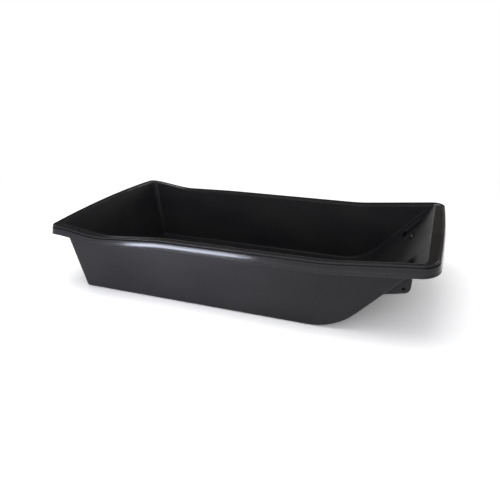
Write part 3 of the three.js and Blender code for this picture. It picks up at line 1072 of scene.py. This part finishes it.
class Finish(Nodes):
    """A material under construction, with its Principled shader."""

    def __init__(self, name):
        self.material = bpy.data.materials.new(name)
        self.material.use_nodes = True
        super().__init__(self.material.node_tree)
        self.shader = next(n for n in self.tree.nodes if n.type == "BSDF_PRINCIPLED")

    def set(self, **values):
        for name, value in values.items():
            self.feed(self.shader.inputs[name.replace("_", " ").title().replace("Ior", "IOR")], value)

    def noise(self, scale, detail=2.0, roughness=0.5, stretch=None):
        """Noise from 0 to 1, with its scale in features to the metre."""
        where = self.place()
        if stretch:
            where = self.node("ShaderNodeMapping", {}, {"Vector": where, "Scale": stretch})
        return self.node(
            "ShaderNodeTexNoise",
            {"noise_dimensions": "3D"},
            {"Vector": where, "Scale": scale, "Detail": detail, "Roughness": roughness},
        )

    def bump(self, height, depth, over=None):
        """A bump so many metres deep, over another bump where one is given."""
        sockets = {"Height": height, "Distance": depth, "Strength": 1.0}
        if over is not None:
            sockets["Normal"] = over
        return self.node("ShaderNodeBump", {}, sockets)


# The plastic's marks, in features to the metre, with the depths of the bumps in metres
CLOUD_SCALE = 3.0
FLOW_SCALE = 9.0
FLOW_STRETCH = (0.35, 1.0, 1.0)
WAVE_SCALE = 14.0
WAVE_DEPTH = 0.0006
PEBBLE_SCALE = 260.0
GRAIN_SCALE = 900.0
GRAIN_DEPTH = 0.00006

# How much of one mark goes with another, and the ranges of noise spread over a colour or a roughness
CLOUD_SHARE = 0.6
GRAIN_SHARE = 0.35
PEBBLE_SHARE = 0.3
TONE_NOISE = (0.35, 0.65)
SATIN_NOISE = (0.4, 0.9)

# The plastic's gloss: satin between two roughnesses, and shinier on the rim under a thin coat
SATIN = (0.36, 0.46)
RIM_SHINE = 0.26
RIM_COAT = 0.15
COAT_ROUGHNESS = 0.15
PLASTIC_SPECULAR = 0.17

# The zinc plating's marks, noise ranges and roughness
BLOOM_SCALE = 350.0
SCRATCH_SCALE = 1400.0
SCRATCH_STRETCH = (1.0, 0.08, 1.0)
SCRATCH_DEPTH = 0.00002
BLOOM_NOISE = (0.35, 0.7)
WEAR_NOISE = (0.6, 1.4)
PLATING = (0.32, 0.52)


def plastic_finish():
    """Black moulded polyethylene: a soft satin skin with a fine grain and faint flow marks."""
    f = finish()
    made = Finish("moulded_polyethylene")
    cloud = made.noise(CLOUD_SCALE, detail=3.0)
    flow = made.noise(FLOW_SCALE, stretch=FLOW_STRETCH)
    grain = made.noise(GRAIN_SCALE, detail=3.0, roughness=0.6)
    pebble = made.noise(PEBBLE_SCALE)
    wave = made.noise(WAVE_SCALE, detail=1.0)
    on_rim_only = made.node("ShaderNodeAttribute", {"attribute_name": RIM_SHARE}, output="Fac")
    tone = made.limit(cloud * CLOUD_SHARE + flow * (1 - CLOUD_SHARE), *TONE_NOISE)
    satin = made.limit(flow + pebble * PEBBLE_SHARE, *SATIN_NOISE, *SATIN)
    fine = grain * GRAIN_SHARE + pebble * (1 - GRAIN_SHARE)
    made.set(
        base_color=made.blend(tone, tuple(f.plastic), tuple(f.plastic_pale)),
        roughness=satin - on_rim_only * RIM_SHINE,
        normal=made.bump(fine, GRAIN_DEPTH, over=made.bump(wave, WAVE_DEPTH)),
        specular_ior_level=PLASTIC_SPECULAR,
        coat_weight=on_rim_only * RIM_COAT,
        coat_roughness=COAT_ROUGHNESS,
    )
    return made.material


def zinc_finish(name, bright, dull):
    """Zinc plating: grey metal with fine scratches and a dull bloom."""
    made = Finish(name)
    bloom = made.noise(BLOOM_SCALE, detail=3.0)
    scratches = made.noise(SCRATCH_SCALE, stretch=SCRATCH_STRETCH)
    tone = made.limit(bloom, *BLOOM_NOISE)
    made.set(
        base_color=made.blend(tone, tuple(bright), tuple(dull)),
        metallic=1.0,
        roughness=made.limit(bloom + scratches, *WEAR_NOISE, *PLATING),
        normal=made.bump(scratches, SCRATCH_DEPTH),
    )
    return made.material


def bright_zinc():
    return zinc_finish("zinc_plating", finish().zinc, finish().zinc_dull)


def dark_zinc():
    return zinc_finish("dark_zinc_plating", finish().washer, finish().washer_dull)


def mark_rim(piece):
    """Marks the rim's bead, flange and face in a vertex attribute, apart from the walls and the ramp."""
    r = rim()
    stern, bow = crest_ends()
    lowest = r.stern_kink_height - r.lip_drop
    narrower = r.flange_width / r.bow_flange_width
    marks = piece.data.attributes.new(RIM_SHARE, "FLOAT", "POINT")
    for vert, mark in zip(piece.data.vertices, marks.data):
        x, y, z = vert.co
        if z < lowest or z < crest_height(x, y) - r.lip_drop:
            continue
        from_side = abs(y) - crest_half_width(x) + r.flange_width
        from_stern = stern + r.flange_width - x
        from_bow = (x - bow + r.bow_flange_width) * narrower
        mark.value = eased(max(from_side, from_stern, from_bow) / r.inner_edge_radius)


def dress(piece, material, node):
    """Gives a piece its material and its body, and hides the frame's node that it stands for."""
    piece.data.materials.clear()
    piece.data.materials.append(material)
    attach(piece, "root")
    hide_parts(node)


class SLED_OT_build_hull(bpy.types.Operator):
    """Build the one-piece moulded hull, with its rim, tub, ramp, panel and hitch ears"""

    bl_idname = "sled.build_hull"
    bl_label = "Hull"

    def execute(self, context):
        bm = bmesh.new()
        loft(bm, hull_rings())
        settle(bm)
        hull = new_object("sled_hull", bm)
        cut_or_join(hull, make_ear_blocks(), "UNION")
        cut_or_join(hull, make_mouth_beads(), "UNION")
        cut_or_join(hull, make_pocket_cutters(), "DIFFERENCE")
        cut_or_join(hull, make_pin_cutters(), "DIFFERENCE")
        cut_or_join(hull, make_bolt_cutter(), "DIFFERENCE")
        mark_rim(hull)
        dress(hull, plastic_finish(), "hull")
        smooth(hull, HULL_SHARP)
        return {"FINISHED"}


class SLED_OT_build_ramp_bolt(bpy.types.Operator):
    """Build the domed bolt through the ramp"""

    bl_idname = "sled.build_ramp_bolt"
    bl_label = "Ramp bolt"

    def execute(self, context):
        b = bolt()
        at = heights()
        top = at["head"] + b.head_height
        flat = over_corners(b.socket) + b.chamfer / 2
        dome = b.head_height - b.head_rim
        profile = [(0, top)]
        for k in range(DOME_RINGS + 1):
            angle = math.pi / 2 * k / DOME_RINGS
            profile.append((mix(flat, b.head / 2, math.sin(angle)), top - dome * (1 - math.cos(angle))))
        profile += [
            (b.head / 2, at["head"] + b.chamfer / 4),
            (b.head / 2 - b.chamfer / 4, at["head"]),
            (b.diameter / 2, at["head"]),
            (b.diameter / 2, at["tail"] + b.chamfer),
            (b.diameter / 2 - b.chamfer, at["tail"]),
            (0, at["tail"]),
        ]
        bm = bmesh.new()
        turned_solid(bm, profile)
        shank = new_object("bolt_turned", bm)
        bm = bmesh.new()
        hexagon(bm, b.socket, top - b.socket_depth, top + b.socket_depth)
        cut_or_join(shank, new_object("socket_cutter", bm), "DIFFERENCE")
        finish_at_bolt("domed_ramp_bolt", taken_up(shank), bright_zinc(), "ramp_bolt")
        return {"FINISHED"}


class SLED_OT_build_washers(bpy.types.Operator):
    """Build the washers inside and beneath the ramp"""

    bl_idname = "sled.build_washers"
    bl_label = "Washers"

    def execute(self, context):
        b = bolt()
        at = heights()
        for node, low in (("inner_washer", at["inner"]), ("outer_washer", at["outer"])):
            bore = b.diameter / 2 + b.clearance
            profile = [
                (bore, low),
                (b.washer / 2, low),
                (b.washer / 2, low + b.washer_thickness),
                (bore, low + b.washer_thickness),
            ]
            bm = bmesh.new()
            turned_solid(bm, profile, closed=True)
            corners = [e for e in bm.edges if abs(e.calc_face_angle(0)) > math.pi / 4]
            round_off(bm, corners, b.washer_edge, WASHER_EDGE_SEGMENTS)
            finish_at_bolt(f"flat_{node}", bm, dark_zinc(), node)
        return {"FINISHED"}


class SLED_OT_build_lock_nut(bpy.types.Operator):
    """Build the lock nut beneath the ramp"""

    bl_idname = "sled.build_lock_nut"
    bl_label = "Lock nut"

    def execute(self, context):
        b = bolt()
        at = heights()
        bm = bmesh.new()
        low = at["nut"] - b.nut_height
        flat = b.nut / 2
        chamfer = (over_corners(b.nut) - flat) * NUT_CHAMFER_SHARE
        inner = flat * NUT_FLAT_SHARE
        outer = over_corners(b.nut) * NUT_CORNER_SHARE
        profile = [
            (0, at["nut"]),
            (inner, at["nut"]),
            (outer, at["nut"] - chamfer),
            (outer, low + chamfer),
            (inner, low),
            (b.collar / 2, low),
            (b.collar / 2, at["nut_end"] + b.collar_height / 4),
            (b.collar / 2 - b.collar_height / 4, at["nut_end"]),
            (0, at["nut_end"]),
        ]
        turned_solid(bm, profile)
        nut = new_object("nut_turned", bm)
        bm = bmesh.new()
        hexagon(bm, b.nut, at["nut_end"] - b.tail, at["nut"] + b.tail)
        cut_or_join(nut, new_object("nut_hexagon", bm), "INTERSECT")
        bm = bmesh.new()
        add_rod(bm, b.diameter / 2 + b.clearance, 8 * b.nut_height)
        cut_or_join(nut, new_object("nut_bore", bm), "DIFFERENCE")
        finish_at_bolt("nylon_lock_nut", taken_up(nut), bright_zinc(), "lock_nut")
        return {"FINISHED"}


# The camera, from the photograph
CAMERA_PLACE = Vector((0.7013, -1.9151, 0.9568))
CAMERA_AZIMUTH = 20.3
CAMERA_ELEVATION = 22.2
CAMERA_ROLL = -0.2
PHOTO_WIDTH = 500
FOCAL_PIXELS = 502.5
MIDDLE_PIXEL = (255.5, 250.4)
SENSOR = 36.0
CAMERA_REACH = 100.0


def make_camera():
    """The camera at the photograph's place, whose shift puts its middle on the middle pixel."""
    data = bpy.data.cameras.new("camera")
    data.sensor_width = SENSOR
    data.lens = FOCAL_PIXELS / PHOTO_WIDTH * SENSOR
    data.shift_x = (PHOTO_WIDTH / 2 - MIDDLE_PIXEL[0]) / PHOTO_WIDTH
    data.shift_y = (MIDDLE_PIXEL[1] - PHOTO_WIDTH / 2) / PHOTO_WIDTH
    data.clip_end = CAMERA_REACH
    camera = bpy.data.objects.new("camera", data)
    bpy.context.scene.collection.objects.link(camera)
    camera.location = CAMERA_PLACE
    turned = Euler((math.radians(90 - CAMERA_ELEVATION), 0, math.radians(CAMERA_AZIMUTH))).to_matrix()
    camera.rotation_euler = (turned @ Matrix.Rotation(math.radians(CAMERA_ROLL), 3, "Z")).to_euler()
    bpy.context.scene.camera = camera


def make_lamp(name, place, aim, size, power, tint, spread):
    """An area lamp that the camera doesn't see."""
    data = bpy.data.lights.new(name, "AREA")
    data.shape = "RECTANGLE"
    data.size, data.size_y = size
    data.energy = power
    data.color = tint
    data.spread = math.radians(spread)
    lamp = bpy.data.objects.new(name, data)
    bpy.context.scene.collection.objects.link(lamp)
    lamp.location = place
    lamp.rotation_euler = (Vector(aim) - Vector(place)).to_track_quat("-Z", "Y").to_euler()
    lamp.visible_camera = False


# The studio. A floor that the lamps light to this share of white shows as white.
FLOOR_WHITE_AT = 0.73
FLOOR_REACH = 40.0
FLOOR_SQUARES = 8
FLOOR_GLOW_FROM = 1.3
FLOOR_GLOW_TO = 2.6
FILL = 0.68

# What gloss and glass show of it: a white backdrop up to a low height, and a dim warm room above.
# Heights are those of a direction's unit vector.
BACKDROP_TO = 0.13
ROOM_FROM = 0.21
ROOM = (0.060, 0.050, 0.032, 1)
WHITE = (1, 1, 1, 1)

# The lamps' tints, and their beams in degrees. The low one makes the long highlight on the near rim.
PLAIN = (1, 1, 1)
COOL = (0.80, 0.84, 1.0)
WIDE_BEAM = 180
NARROW_BEAM = 84

# Each lamp: its name, place, aim, width and height, power in watts, tint and beam
LAMPS = (
    ("top_softbox", (-0.2, -0.6, 2.6), (0, 0, 0), (2.4, 1.6), 24, PLAIN, WIDE_BEAM),
    ("front_softbox", (0, -3.2, 0.95), (0, 0, 0.2), (4.0, 1.0), 34, PLAIN, WIDE_BEAM),
    ("low_softbox", (-0.62, -1.50, 0.11), (-0.28, -0.38, 0.38), (0.54, 0.18), 3.0, COOL, NARROW_BEAM),
)


def make_floor():
    """A pale floor that keeps the sled's shadow, and passes into plain white away from the sled."""
    bm = bmesh.new()
    bmesh.ops.create_grid(bm, x_segments=FLOOR_SQUARES, y_segments=FLOOR_SQUARES, size=FLOOR_REACH)
    bmesh.ops.translate(bm, vec=(0, 0, HULL_LOW.z), verts=bm.verts)
    floor = new_object("studio_floor", bm)
    material = bpy.data.materials.new("studio_floor")
    material.use_nodes = True
    material.node_tree.nodes.clear()
    made = Nodes(material.node_tree)
    seen = made.seen()
    pale = tuple(finish().floor)
    shown = tuple(channel / pale[0] / FLOOR_WHITE_AT for channel in pale[:3]) + (1,)
    lit = made.node("ShaderNodeBsdfDiffuse", sockets={"Color": made.blend(seen, pale, shown)})
    away = made.node("ShaderNodeVectorMath", {"operation": "LENGTH"}, {0: made.place()}, "Value")
    spread = made.limit(away, FLOOR_GLOW_FROM, FLOOR_GLOW_TO, curve="SMOOTHSTEP")
    glow = made.node("ShaderNodeEmission", sockets={"Color": WHITE, "Strength": seen})
    surface = made.node("ShaderNodeMixShader", sockets={0: spread * seen, 1: lit, 2: glow})
    output = made.tree.nodes.new("ShaderNodeOutputMaterial")
    made.feed(output.inputs["Surface"], surface)
    floor.data.materials.append(material)


def make_world():
    """White to the camera, the studio in gloss and glass, and a soft fill for everything else."""
    world = bpy.data.worlds.new("studio")
    bpy.context.scene.world = world
    world.use_nodes = True
    made = Nodes(world.node_tree)
    background = next(n for n in made.tree.nodes if n.type == "BACKGROUND")
    direction = made.node("ShaderNodeTexCoord", output="Generated")
    height = made.node("ShaderNodeSeparateXYZ", sockets={0: direction}, output="Z")
    camera = made.node("ShaderNodeLightPath", output="Is Camera Ray")
    mirrored = made.blend(made.limit(height, BACKDROP_TO, ROOM_FROM, curve="SMOOTHSTEP"), WHITE, ROOM)
    lit = made.blend(made.seen(), (FILL, FILL, FILL, 1), mirrored)
    made.feed(background.inputs["Color"], made.blend(camera, lit, WHITE))


class SLED_OT_build_studio(bpy.types.Operator):
    """Build the pale floor, the soft lamps and the camera"""

    bl_idname = "sled.build_studio"
    bl_label = "Studio"

    def execute(self, context):
        make_floor()
        make_world()
        for lamp in LAMPS:
            make_lamp(*lamp)
        context.scene.view_settings.view_transform = "Standard"
        make_camera()
        return {"FINISHED"}


BUILDERS = (
    SLED_OT_build_hull,
    SLED_OT_build_ramp_bolt,
    SLED_OT_build_washers,
    SLED_OT_build_lock_nut,
    SLED_OT_build_studio,
)


class SLED_PT_panel(bpy.types.Panel):
    """Lists the sled's pieces, its sizes and its colours"""

    bl_idname = "SLED_PT_panel"
    bl_label = "Ice fishing sled"
    bl_space_type = "VIEW_3D"
    bl_region_type = "UI"
    bl_category = "Sled"

    def draw(self, context):
        for builder in BUILDERS:
            self.layout.operator(builder.bl_idname)
        for group in GROUPS:
            box = self.layout.box()
            box.label(text=group)
            settings = getattr(context.scene, group)
            for name in GROUPS[group].__annotations__:
                box.prop(settings, name)


GROUPS = {
    "sled_rim": SledRim,
    "sled_tub": SledTub,
    "sled_ears": SledEars,
    "sled_bolt": SledBolt,
    "sled_finish": SledFinish,
}


def register():
    for group in (*GROUPS.values(), *BUILDERS, SLED_PT_panel):
        bpy.utils.register_class(group)
    for name, group in GROUPS.items():
        setattr(bpy.types.Scene, name, bpy.props.PointerProperty(type=group))


def unregister():
    for name in GROUPS:
        delattr(bpy.types.Scene, name)
    for group in (SLED_PT_panel, *BUILDERS, *GROUPS.values()):
        bpy.utils.unregister_class(group)


def main():
    register()
    bpy.ops.sled.build_hull()
    bpy.ops.sled.build_ramp_bolt()
    bpy.ops.sled.build_washers()
    bpy.ops.sled.build_lock_nut()
    bpy.ops.sled.build_studio()


if __name__ == "__main__":
    main()
